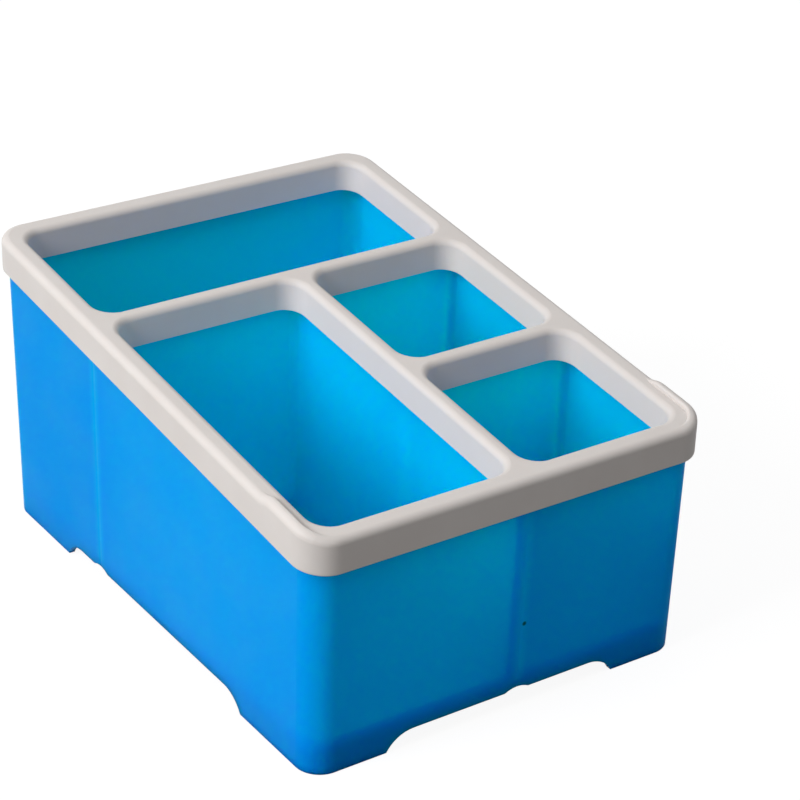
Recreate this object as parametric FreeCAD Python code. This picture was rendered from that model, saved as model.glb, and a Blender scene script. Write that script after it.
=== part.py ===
import FreeCAD, Part
import math
import os

# Desk organiser for stationery: a moulded tub with four compartments and a push-on rim frame.
# The top slopes along the length. X runs along the length with the low end at +X, Y across, Z up.
# The origin lies in the middle of the footprint, on the desk.

# Overall sizes
rim_length = 180.0
rim_width = 132.0
high_end_height = 94.5
low_end_height = 74.5
rim_corner_radius = 9.5

# Rim frame
top_thickness = 2.0
skirt_wall = 1.5
skirt_height = 10.5
inner_skirt_wall = 1.2
inner_skirt_depth = 9.4
inner_skirt_inset = 0.6
opening_corner_radius = 6.5
opening_edge_share = 0.4
outer_edge_round = 2.2
skirt_edge_round = 0.4

# Raised lips on the rim at the two low corners
lip_height = 1.4
lip_width = 3.0
lip_edge_share = 0.9
lip_run_along_side = 11.0
lip_ramp_run = 6.5

# Middles of the three bars of the frame, which are also those of the three dividers of the tub
cross_bar_x = -29.8
short_bar_x = 28.1
long_bar_y = 4.8

# Tub
tub_wall = 2.0
divider_wall = 1.7
draft_degrees = 0.6
floor_thickness = 2.0
divider_corner_radius = 2.4
floor_corner_share = 0.8

# Plinth under the floor, cut away between four corner feet
foot_height = 5.4
foot_edge_round = 0.5
strip_under_floor = 2.1
long_cutout_length = 102.0
end_cutout_length = 78.0
cutout_end_radius = 10.0
notch_width = 8.0
notch_rise_share = 0.5

# Clearances between the frame and the tub: outside the walls, inside the walls and beside the dividers
fit_gap = 0.3
inner_gap = 1.6
divider_gap = 0.45

# Overrun of every cutting body, and how near an edge lies to the line that it is looked for on
overrun = 5.0
near_share = 0.1

# Derived sizes
draft = math.tan(math.radians(draft_degrees))
slope = (high_end_height - low_end_height) / rim_length
rim_top = (high_end_height + low_end_height) / 2
skirt_low = rim_top - skirt_height
tub_top = rim_top - top_thickness
full_height = high_end_height + overrun
overhang = skirt_wall + fit_gap
rim_top_width = overhang + tub_wall + inner_gap + inner_skirt_wall
bar_width = divider_wall + 2 * (divider_gap + inner_skirt_wall)
opening_edge_round = opening_edge_share * bar_width
lip_edge_round = lip_edge_share * (lip_width - outer_edge_round)
lip_fade_run = rim_corner_radius * math.sqrt(2)
tub_half_length = rim_length / 2 - overhang
tub_half_width = rim_width / 2 - overhang
tub_corner_radius = rim_corner_radius - overhang
floor_under = foot_height + strip_under_floor
floor_top = floor_under + floor_thickness
floor_corner_radius = floor_corner_share * divider_corner_radius
notch_rise = notch_rise_share * strip_under_floor
notch_radius = (notch_width ** 2 / 4 + notch_rise ** 2) / (2 * notch_rise)
near = near_share * top_thickness

# Directions and turns
quarter_turn = 90.0
corner_turn = 1.5 * quarter_turn
origin = FreeCAD.Vector(0, 0, 0)
along_x = FreeCAD.Vector(1, 0, 0)
along_y = FreeCAD.Vector(0, 1, 0)
along_z = FreeCAD.Vector(0, 0, 1)


# Blocks with flat sides and rounded upright edges


def corners(limits, grow, height, tilt):
    # Corner points of a rectangle grown on all sides. A tilted one follows the sloping top.
    x0, x1, y0, y1 = limits
    points = [(x0 - grow, y0 - grow), (x1 + grow, y0 - grow), (x1 + grow, y1 + grow), (x0 - grow, y1 + grow)]
    return [FreeCAD.Vector(x, y, height - tilt * x) for x, y in points]


def outward_face(points, centre):
    face = Part.Face(Part.makePolygon(points + points[:1]))
    if face.normalAt(0, 0).dot(face.CenterOfMass - centre) < 0:
        face.reverse()
    return face


def flat_sided_solid(lower, upper):
    count = len(lower)
    centre = sum(lower + upper, origin) / (2 * count)
    faces = [outward_face(lower, centre), outward_face(upper, centre)]
    for i in range(count):
        faces.append(outward_face([lower[i - 1], lower[i], upper[i], upper[i - 1]], centre))
    return Part.Solid(Part.Shell(faces))


def nearest_edge(solid, point):
    return min(solid.Edges, key=lambda edge: (edge.CenterOfMass - point).Length)


def rounded_block(lower, upper, radii):
    # One radius for each upright edge.
    solid = flat_sided_solid(lower, upper)
    middles = [(low + high) / 2 for low, high in zip(lower, upper)]
    for radius in sorted(set(radii)):
        chosen = [middle for middle, r in zip(middles, radii) if r == radius]
        solid = solid.makeFillet(radius, [nearest_edge(solid, middle) for middle in chosen])
    return solid


def tapered_block(limits, given, low, high, lean, radii, tilt):
    # The limits hold at the given height. The block widens upwards by lean for each unit of height.
    lower = corners(limits, lean * (low - given), low, tilt)
    upper = corners(limits, lean * (high - given), high, tilt)
    return rounded_block(lower, upper, radii)


def sloping_slab(low, high):
    # All between two planes parallel to the sloping top. Heights are those at the middle of the length.
    half_length = rim_length / 2 + overrun
    half_width = rim_width / 2 + overrun
    limits = (-half_length, half_length, -half_width, half_width)
    return flat_sided_solid(corners(limits, 0, low, slope), corners(limits, 0, high, slope))


# Lay-out of the four compartments, shared by the openings of the frame and the pockets of the tub


def compartments(end, side, half_bar):
    behind = cross_bar_x - half_bar
    ahead = cross_bar_x + half_bar
    return {
        "full width": (-end, behind, -side, side),
        "long": (ahead, end, -side, long_bar_y - half_bar),
        "small high": (ahead, short_bar_x - half_bar, long_bar_y + half_bar, side),
        "small low": (short_bar_x + half_bar, end, long_bar_y + half_bar, side),
    }


# Rim frame


def rim_prism(inset):
    half_length = rim_length / 2 - inset
    half_width = rim_width / 2 - inset
    limits = (-half_length, half_length, -half_width, half_width)
    radii = [rim_corner_radius - inset] * 4
    return tapered_block(limits, 0, -overrun, full_height, 0, radii, 0)


def depth_inside(point):
    # Distance from a point to the outline of the rim, seen from above.
    dx = max(abs(point.x) - (rim_length / 2 - rim_corner_radius), 0)
    dy = max(abs(point.y) - (rim_width / 2 - rim_corner_radius), 0)
    return rim_corner_radius - math.hypot(dx, dy)


def rise_over_top(point):
    return point.z - (rim_top - slope * point.x)


def middle_of(edge):
    return edge.valueAt((edge.FirstParameter + edge.LastParameter) / 2)


def edges_along(solid, depth_low, depth_high, rise_low, rise_high):
    found = []
    for edge in solid.Edges:
        middle = middle_of(edge)
        if depth_low < depth_inside(middle) < depth_high and rise_low < rise_over_top(middle) < rise_high:
            found.append(edge)
    return found


def lip_ramp(run):
    # Broad block as high as the lip, which falls to the rim at its -X end by a ramp of two equal arcs.
    crest = along_z * lip_height
    foot = along_x * -run
    middle = (crest + foot) / 2
    half_turn = math.atan(lip_height / run)
    radius = run / (2 * math.sin(2 * half_turn))
    step = FreeCAD.Vector(radius * math.sin(half_turn), 0, radius * (1 - math.cos(half_turn)))
    upper = Part.Arc(crest, crest - step, middle).toShape()
    lower = Part.Arc(middle, foot + step, foot).toShape()
    sunk = along_z * -outer_edge_round
    end = along_x * rim_length
    outline = Part.makePolygon([foot, foot + sunk, end + sunk, end + crest, crest])
    face = Part.Face(Part.Wire([upper, lower] + outline.Edges))
    face.translate(along_y * -rim_length)
    return face.extrude(along_y * 2 * rim_length)


def lip(side):
    # The lip stands on the outer edge of the rim. It starts on the long side and fades out round the corner.
    along = lip_ramp(lip_ramp_run)
    along.translate(along_x * -(rim_corner_radius + lip_run_along_side))
    fade = lip_ramp(lip_fade_run)
    fade.rotate(origin, along_z, side * corner_turn)
    fade.translate(FreeCAD.Vector(-rim_corner_radius / 2, side * (rim_width + rim_corner_radius) / 2, 0))
    both = along.common(fade)
    both.rotate(origin, along_y, math.degrees(math.atan(slope)))
    both.translate(FreeCAD.Vector(rim_length / 2, 0, low_end_height))
    ring = rim_prism(0).cut(rim_prism(lip_width))
    solid = ring.common(both).Solids[0]
    inner = edges_along(solid, lip_width - near, lip_width + near, 0, lip_height + near)
    return solid.makeFillet(lip_edge_round, inner)


def rim_block():
    block = rim_prism(0).common(sloping_slab(skirt_low, rim_top))
    for side in (-1, 1):
        block = block.fuse(lip(side))
    block = block.removeSplitter().Solids[0]
    top_edges = edges_along(block, -near, near, -near, lip_height + near)
    block = block.makeFillet(outer_edge_round, top_edges)
    low_edges = edges_along(block, -near, near, -skirt_height - near, -skirt_height + near)
    return block.makeFillet(skirt_edge_round, low_edges)


def opening_block(limits, wall, low, high):
    lean = inner_skirt_inset / inner_skirt_depth
    radii = [opening_corner_radius + wall] * 4
    x0, x1, y0, y1 = limits
    grown = (x0 - wall, x1 + wall, y0 - wall, y1 + wall)
    return tapered_block(grown, rim_top, low, high, lean, radii, slope)


def rim_frame():
    frame = rim_block()
    openings = compartments(rim_length / 2 - rim_top_width, rim_width / 2 - rim_top_width, bar_width / 2)
    for limits in openings.values():
        frame = frame.cut(opening_block(limits, 0, skirt_low - overrun, rim_top + overrun))
    frame = frame.Solids[0]
    edges = edges_along(frame, rim_top_width - near, rim_width, -near, near)
    frame = frame.makeFillet(opening_edge_round, edges)
    channel = rim_prism(skirt_wall).common(sloping_slab(skirt_low - overrun, tub_top))
    for limits in openings.values():
        channel = channel.cut(opening_block(limits, inner_skirt_wall, rim_top - inner_skirt_depth, rim_top))
    return frame.cut(channel).Solids[0]


# Tub


def tub_shell():
    limits = (-tub_half_length, tub_half_length, -tub_half_width, tub_half_width)
    shell = tapered_block(limits, high_end_height, 0, full_height, draft, [tub_corner_radius] * 4, 0)
    low_edges = [edge for edge in shell.Edges if edge.BoundBox.ZMax < foot_edge_round]
    shell = shell.makeFillet(foot_edge_round, low_edges)
    return shell.cut(sloping_slab(tub_top, full_height + high_end_height))


def pocket(limits, end, side):
    x0, x1, y0, y1 = limits
    radii = []
    for x, y in ((x0, y0), (x1, y0), (x1, y1), (x0, y1)):
        at_outer_corner = abs(x) == end and abs(y) == side
        radii.append(tub_corner_radius - tub_wall if at_outer_corner else divider_corner_radius)
    block = tapered_block(limits, high_end_height, floor_top, full_height, draft, radii, 0)
    low_edges = [edge for edge in block.Edges if edge.BoundBox.ZMax < floor_top + floor_corner_radius]
    return block.makeFillet(floor_corner_radius, low_edges)


def underside():
    narrowing = tub_wall + draft * high_end_height
    half_length = tub_half_length - narrowing
    half_width = tub_half_width - narrowing
    limits = (-half_length, half_length, -half_width, half_width)
    radii = [tub_corner_radius - tub_wall] * 4
    return tapered_block(limits, 0, -overrun, floor_under, -draft, radii, 0)


def cutout(length, reach):
    # Opening between two feet, with rounded ends that run tangent into its level top edge.
    drop = cutout_end_radius - foot_height
    flat = length / 2 - math.sqrt(cutout_end_radius ** 2 - drop ** 2)
    limits = (-flat, flat, -reach, reach)
    block = flat_sided_solid(corners(limits, 0, -overrun, 0), corners(limits, 0, foot_height, 0))
    for x in (-flat, flat):
        start = FreeCAD.Vector(x, -reach, -drop)
        block = block.fuse(Part.makeCylinder(cutout_end_radius, 2 * reach, start, along_y))
    return block


def notches():
    # Small arches in the upper edge of the cut-outs, one where each divider meets an outer wall.
    height = foot_height + notch_rise - notch_radius
    reach = rim_length
    lines = [
        (FreeCAD.Vector(cross_bar_x, -reach, height), along_y, 2 * reach),
        (FreeCAD.Vector(short_bar_x, 0, height), along_y, reach),
        (FreeCAD.Vector(0, long_bar_y, height), along_x, reach),
    ]
    return [Part.makeCylinder(notch_radius, length, start, way) for start, way, length in lines]


def tub():
    body = tub_shell()
    end = tub_half_length - tub_wall
    side = tub_half_width - tub_wall
    for limits in compartments(end, side, divider_wall / 2).values():
        body = body.cut(pocket(limits, end, side))
    body = body.cut(underside())
    body = body.cut(cutout(long_cutout_length, rim_width))
    across = cutout(end_cutout_length, rim_length)
    across.rotate(origin, along_z, quarter_turn)
    body = body.cut(across)
    for notch in notches():
        body = body.cut(notch)
    return body.Solids[0]


os.makedirs("parts", exist_ok=True)
pieces = {"tub": tub(), "rim_frame": rim_frame()}
for name, shape in pieces.items():
    print(name, len(shape.Solids), shape.isValid(), len(shape.Faces), round(shape.Volume), shape.BoundBox)
    shape.exportStep(os.path.join("parts", name + ".step"))
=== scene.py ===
import math

import bpy
from mathutils import Matrix, Vector


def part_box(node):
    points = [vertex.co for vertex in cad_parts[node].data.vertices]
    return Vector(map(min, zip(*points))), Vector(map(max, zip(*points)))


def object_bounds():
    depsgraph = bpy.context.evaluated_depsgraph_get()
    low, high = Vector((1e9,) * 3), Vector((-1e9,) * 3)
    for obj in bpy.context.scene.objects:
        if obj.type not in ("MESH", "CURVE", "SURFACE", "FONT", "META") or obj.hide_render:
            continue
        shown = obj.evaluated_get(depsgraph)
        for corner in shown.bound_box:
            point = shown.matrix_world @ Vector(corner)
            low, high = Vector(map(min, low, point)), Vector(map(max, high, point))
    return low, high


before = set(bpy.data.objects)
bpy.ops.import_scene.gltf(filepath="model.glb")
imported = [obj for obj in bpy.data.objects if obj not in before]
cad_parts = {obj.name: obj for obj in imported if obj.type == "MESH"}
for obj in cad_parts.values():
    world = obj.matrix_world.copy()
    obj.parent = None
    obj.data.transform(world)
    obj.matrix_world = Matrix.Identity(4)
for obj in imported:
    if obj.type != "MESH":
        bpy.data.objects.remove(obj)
cad_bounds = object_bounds()


# Tub
# One moulding in bright blue polypropylene: outer walls, dividers, floor and a plinth with corner feet.
# The mould's fine texture leaves it satin, and the walls are thin enough to let a little light through.

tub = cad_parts["tub"]
tub_low, tub_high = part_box("tub")
tub_half_length = -tub_low.x
tub_half_width = tub_high.y
tub_wall = 0.002
tub_draft = math.tan(math.radians(0.6))
tub_corner_radius = 0.0077
floor_under = 0.0075
floor_top = floor_under + tub_wall
cross_divider_x = -0.0298
short_divider_x = 0.0281
long_divider_y = 0.0048
grain_size = 0.0005
grain_depth = 0.000012
grain_detail = 2.0
mottle_size = 0.014
mottle_detail = 4.0
mottle_range = (0.3, 0.7)


def add(tree, kind, inputs=None, **settings):
    made = tree.nodes.new(kind)
    for name, value in settings.items():
        setattr(made, name, value)
    for name, value in (inputs or {}).items():
        if isinstance(value, bpy.types.NodeSocket):
            tree.links.new(value, made.inputs[name])
        else:
            made.inputs[name].default_value = value
    return made


def sums(tree, operation, first, second=0.0):
    return add(tree, "ShaderNodeMath", {0: first, 1: second}, operation=operation).outputs[0]


def ramp(tree, value, start, end, first=0.0, last=1.0):
    ends = {"Value": value, "From Min": start, "From Max": end, "To Min": first, "To Max": last}
    return add(tree, "ShaderNodeMapRange", ends, interpolation_type="SMOOTHSTEP").outputs[0]


def mix(tree, kind, share, first, second):
    ends = {"Factor": share, "A": first, "B": second}
    return add(tree, "ShaderNodeMix", ends, data_type=kind).outputs["Result"]


def moulded_skin_group():
    group = bpy.data.node_groups.new("moulded_skin", "ShaderNodeTree")
    for name, size in (("Grain Size", grain_size), ("Mottle Size", mottle_size)):
        socket = group.interface.new_socket(name, in_out="INPUT", socket_type="NodeSocketFloat")
        socket.default_value = size
    for name in ("Grain", "Mottle"):
        group.interface.new_socket(name, in_out="OUTPUT", socket_type="NodeSocketFloat")
    sizes = add(group, "NodeGroupInput").outputs
    place = add(group, "ShaderNodeTexCoord").outputs["Object"]
    ends = {}
    for name, detail in (("Grain", grain_detail), ("Mottle", mottle_detail)):
        scale = sums(group, "DIVIDE", 1.0, sizes[name + " Size"])
        noise = add(group, "ShaderNodeTexNoise", {"Vector": place, "Scale": scale, "Detail": detail})
        ends[name] = noise.outputs[0]
    add(group, "NodeGroupOutput", ends)
    return group


moulded_skin = moulded_skin_group()


def new_material(name):
    material = bpy.data.materials.new(name)
    material.use_nodes = True
    material.node_tree.nodes.clear()
    return material


def depth_from_sides(tree, x, y, z):
    # How far a place lies in from the outer faces of the tub's drafted sides and round corners.
    lean = sums(tree, "MULTIPLY", sums(tree, "SUBTRACT", tub_high.z, z), tub_draft)
    reach_x = sums(tree, "ADD", sums(tree, "ABSOLUTE", x), lean)
    reach_y = sums(tree, "ADD", sums(tree, "ABSOLUTE", y), lean)
    past_x = sums(tree, "SUBTRACT", reach_x, tub_half_length - tub_corner_radius)
    past_y = sums(tree, "SUBTRACT", reach_y, tub_half_width - tub_corner_radius)
    round_x = sums(tree, "POWER", sums(tree, "MAXIMUM", past_x, 0.0), 2.0)
    round_y = sums(tree, "POWER", sums(tree, "MAXIMUM", past_y, 0.0), 2.0)
    beyond = sums(tree, "SQRT", sums(tree, "ADD", round_x, round_y))
    within = sums(tree, "MINIMUM", sums(tree, "MAXIMUM", past_x, past_y), 0.0)
    return sums(tree, "SUBTRACT", tub_corner_radius, sums(tree, "ADD", beyond, within))


def near_line(tree, coordinate, line, width):
    distance = sums(tree, "ABSOLUTE", sums(tree, "SUBTRACT", coordinate, line))
    return ramp(tree, distance, 0.0, width / 2, 1.0, 0.0)


def divider_joints(tree, x, y, width):
    # The lines on the outer walls where a divider joins them.
    at_cross = near_line(tree, x, cross_divider_x, width)
    near_short = near_line(tree, x, short_divider_x, width)
    near_long = near_line(tree, y, long_divider_y, width)
    at_short = sums(tree, "MULTIPLY", near_short, sums(tree, "GREATER_THAN", y, 0.0))
    at_long = sums(tree, "MULTIPLY", near_long, sums(tree, "GREATER_THAN", x, 0.0))
    return sums(tree, "MAXIMUM", at_cross, sums(tree, "MAXIMUM", at_short, at_long))


wall_blue = (0.0, 0.26, 0.97, 1.0)
wall_deep_blue = (0.0, 0.24, 0.95, 1.0)
# Painted shade: the greener blue on the inner faces, dividers and floor stands in for the teal that faces in
# shade take on.
painted_shade_blue = (0.0, 0.73, 0.98, 1.0)
painted_shade_deep_blue = (0.0, 0.69, 0.97, 1.0)
inner_face_depths = (0.25 * tub_wall, 0.75 * tub_wall)
divider_depths = (1.25 * tub_wall, 2.25 * tub_wall)
wall_inner_share = 0.45
# Painted glow: a faint strip of the greener tint along each divider joint on the outer faces stands in for
# light showing through the divider.
painted_glow_joint_share = 0.18
joint_width = 0.007
sink_line_width = 0.0022
sink_line_depth = 0.00012
fleck_place = (0.0875, 0.0059, 0.027)
fleck_radius = 0.0009
fleck_core_radius = 0.4 * fleck_radius
fleck_blue = (0.0, 0.06, 0.12, 1.0)
# A glow says how far red, green and blue light spreads inside the plastic, in millimetres.
glow_scale = 0.001
wall_glow = (1.0, 22.0, 9.0)
divider_glow = (1.0, 60.0, 12.0)
floor_glow = (1.0, 6.0, 6.0)
floor_glow_top = floor_top + 3 * tub_wall
tub_roughness = (0.4, 0.5)
tub_specular = 0.03
tub_glow_share = 1.0


def tub_material():
    material = new_material("blue_polypropylene")
    tree = material.node_tree
    place = add(tree, "ShaderNodeTexCoord").outputs["Object"]
    x, y, z = add(tree, "ShaderNodeSeparateXYZ", {0: place}).outputs
    skin = add(tree, "ShaderNodeGroup", node_tree=moulded_skin).outputs

    # Outer faces, inner faces, dividers and floor are told apart by where they lie in the tub; the dividers
    # and floor get the greener painted shade tint fully, and the inner faces of the walls in part.
    depth = depth_from_sides(tree, x, y, z)
    inside = ramp(tree, depth, *inner_face_depths)
    outside = sums(tree, "SUBTRACT", 1.0, inside)
    past_wall = ramp(tree, depth, *divider_depths)
    above_plinth = ramp(tree, z, floor_under, floor_top)
    above_floor = ramp(tree, z, floor_top, floor_glow_top)
    wall_share = sums(tree, "MULTIPLY", inside, wall_inner_share)
    inner_share = mix(tree, "FLOAT", past_wall, wall_share, 1.0)
    # Painted glow strip along the divider joints on the outer faces.
    joint = sums(tree, "MULTIPLY", divider_joints(tree, x, y, joint_width), outside)
    tint = sums(tree, "MAXIMUM", inner_share, sums(tree, "MULTIPLY", joint, painted_glow_joint_share))
    inner = sums(tree, "MULTIPLY", tint, above_plinth)
    inner_glow = mix(tree, "VECTOR", above_floor, floor_glow, divider_glow)

    # The blue drifts a little over the moulding, and one dark fleck sits in the end wall.
    # The painted shade tint is mixed in here, as far as the inner share reaches.
    light = mix(tree, "RGBA", inner, wall_blue, painted_shade_blue)
    deep = mix(tree, "RGBA", inner, wall_deep_blue, painted_shade_deep_blue)
    mottled = mix(tree, "RGBA", skin["Mottle"], light, deep)
    to_fleck = add(tree, "ShaderNodeVectorMath", {0: place, 1: fleck_place}, operation="DISTANCE")
    fleck = ramp(tree, to_fleck.outputs["Value"], fleck_core_radius, fleck_radius, 1.0, 0.0)

    # Fine grain covers every face, and a shallow sink line follows each joint on the outer faces.
    grain = sums(tree, "MULTIPLY", skin["Grain"], grain_depth)
    sink_line = sums(tree, "MULTIPLY", divider_joints(tree, x, y, sink_line_width), outside)
    sunk = sums(tree, "MULTIPLY", sink_line, sink_line_depth)
    bump = add(tree, "ShaderNodeBump", {"Height": sums(tree, "SUBTRACT", grain, sunk), "Distance": 1.0})
    plastic = add(
        tree,
        "ShaderNodeBsdfPrincipled",
        {
            "Base Color": mix(tree, "RGBA", fleck, mottled, fleck_blue),
            "Roughness": ramp(tree, skin["Mottle"], *mottle_range, *tub_roughness),
            "Normal": bump.outputs[0],
            "Specular IOR Level": tub_specular,
            "Subsurface Weight": tub_glow_share,
            "Subsurface Radius": mix(tree, "VECTOR", past_wall, wall_glow, inner_glow),
            "Subsurface Scale": glow_scale,
        },
    )
    add(tree, "ShaderNodeOutputMaterial", {"Surface": plastic.outputs[0]})
    return material


tub.material_slots[0].material = tub_material()


# Rim frame
# One moulding in warm off-white polypropylene, pushed over the tub's upper edge and the tops of its dividers.
# It has an outer skirt, an inner skirt down into each compartment and a raised lip at each low corner.

rim_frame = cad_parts["rim_frame"]
rim_cream = (0.665, 0.63, 0.605, 1.0)
rim_warm_cream = (0.63, 0.585, 0.56, 1.0)
rim_roughness = (0.45, 0.55)
rim_specular = 0.3
rim_glow = (1.2, 1.0, 0.9)
rim_glow_share = 0.2


def rim_material():
    material = new_material("cream_polypropylene")
    tree = material.node_tree
    skin = add(tree, "ShaderNodeGroup", node_tree=moulded_skin).outputs
    grain = sums(tree, "MULTIPLY", skin["Grain"], grain_depth)
    bump = add(tree, "ShaderNodeBump", {"Height": grain, "Distance": 1.0})
    plastic = add(
        tree,
        "ShaderNodeBsdfPrincipled",
        {
            "Base Color": mix(tree, "RGBA", skin["Mottle"], rim_cream, rim_warm_cream),
            "Roughness": ramp(tree, skin["Mottle"], *mottle_range, *rim_roughness),
            "Normal": bump.outputs[0],
            "Specular IOR Level": rim_specular,
            "Subsurface Weight": rim_glow_share,
            "Subsurface Radius": rim_glow,
            "Subsurface Scale": glow_scale,
        },
    )
    add(tree, "ShaderNodeOutputMaterial", {"Surface": plastic.outputs[0]})
    return material


rim_frame.material_slots[0].material = rim_material()


# Desk
# A plain pale surface that the feet stand on, one flat sheet that reaches far past the view.
# The eye sees it as white with the box's soft shadow on it, and it throws little light back.

desk_half_size = 6.0
desk_grey = (0.12, 0.12, 0.12, 1.0)
desk_white_level = 0.92


def seen_directly(tree):
    light_path = add(tree, "ShaderNodeLightPath").outputs
    seen = sums(tree, "MAXIMUM", light_path["Is Camera Ray"], light_path["Is Glossy Ray"])
    return sums(tree, "MAXIMUM", seen, light_path["Is Transmission Ray"])


def desk_material():
    material = new_material("pale_desk")
    tree = material.node_tree
    matte = add(tree, "ShaderNodeBsdfDiffuse", {"Color": desk_grey})
    level = sums(tree, "MULTIPLY", seen_directly(tree), desk_white_level)
    white = add(tree, "ShaderNodeEmission", {"Strength": level})
    both = add(tree, "ShaderNodeAddShader", {0: matte.outputs[0], 1: white.outputs[0]})
    add(tree, "ShaderNodeOutputMaterial", {"Surface": both.outputs[0]})
    return material


desk_mesh = bpy.data.meshes.new("desk")
desk_corners = []
for x, y in ((-1, -1), (1, -1), (1, 1), (-1, 1)):
    desk_corners.append((x * desk_half_size, y * desk_half_size, cad_bounds[0].z))
desk_mesh.from_pydata(desk_corners, [], [range(4)])
desk_mesh.materials.append(desk_material())
desk = bpy.data.objects.new("desk", desk_mesh)
bpy.context.scene.collection.objects.link(desk)


# Light
# One large soft lamp stands beside the long wall, above the rim, and shines along the ends.
# A pale room, brighter overhead, fills the shadows.

lamp_direction = Vector((0.0, -0.8, 0.52)).normalized()
lamp_distance = 1.6
lamp_size = 0.8
lamp_power = 22.0
room_white = (1.0, 1.0, 1.0, 1.0)
room_low_level = 0.2
room_high_level = 0.66
room_seen_level = 1.0

lamp_data = bpy.data.lights.new("soft_lamp", "AREA")
lamp_data.shape = "DISK"
lamp_data.size = lamp_size
lamp_data.energy = lamp_power
lamp = bpy.data.objects.new("soft_lamp", lamp_data)
lamp.location = lamp_direction * lamp_distance
lamp.rotation_euler = lamp_direction.to_track_quat("Z", "Y").to_euler()
bpy.context.scene.collection.objects.link(lamp)

room = bpy.data.worlds.new("pale_room")
room.use_nodes = True
room.node_tree.nodes.clear()
room_way = add(room.node_tree, "ShaderNodeTexCoord").outputs["Generated"]
room_height = add(room.node_tree, "ShaderNodeSeparateXYZ", {0: room_way}).outputs["Z"]
room_level = ramp(room.node_tree, room_height, 0.0, 1.0, room_low_level, room_high_level)
room_strength = mix(room.node_tree, "FLOAT", seen_directly(room.node_tree), room_level, room_seen_level)
room_light = add(room.node_tree, "ShaderNodeBackground", {"Color": room_white, "Strength": room_strength})
add(room.node_tree, "ShaderNodeOutputWorld", {"Surface": room_light.outputs[0]})
bpy.context.scene.world = room


# Camera
# It stands off the low end, beside the long wall, and looks down into the compartments.
# A long lens, rolled by two degrees, frames the box as the photograph does.

camera_azimuth = math.radians(54.883)
camera_elevation = math.radians(27.473)
camera_roll = math.radians(1.942)
camera_distance = 0.7377
camera_aim = Vector((0.006125, 0.018738, 0.056594))
camera_lens = 112.03

forward = Vector(
    (
        -math.sin(camera_azimuth) * math.cos(camera_elevation),
        math.cos(camera_azimuth) * math.cos(camera_elevation),
        -math.sin(camera_elevation),
    )
)
level_right = Vector((math.cos(camera_azimuth), math.sin(camera_azimuth), 0.0))
level_up = level_right.cross(forward)
right = math.cos(camera_roll) * level_right + math.sin(camera_roll) * level_up
up = math.cos(camera_roll) * level_up - math.sin(camera_roll) * level_right
turn = Matrix((right, up, -forward)).transposed().to_4x4()
camera_data = bpy.data.cameras.new("camera")
camera_data.lens = camera_lens
camera = bpy.data.objects.new("camera", camera_data)
camera.matrix_world = Matrix.Translation(camera_aim - forward * camera_distance) @ turn
bpy.context.scene.collection.objects.link(camera)
bpy.context.scene.camera = camera
bpy.context.scene.view_settings.view_transform = "Standard"
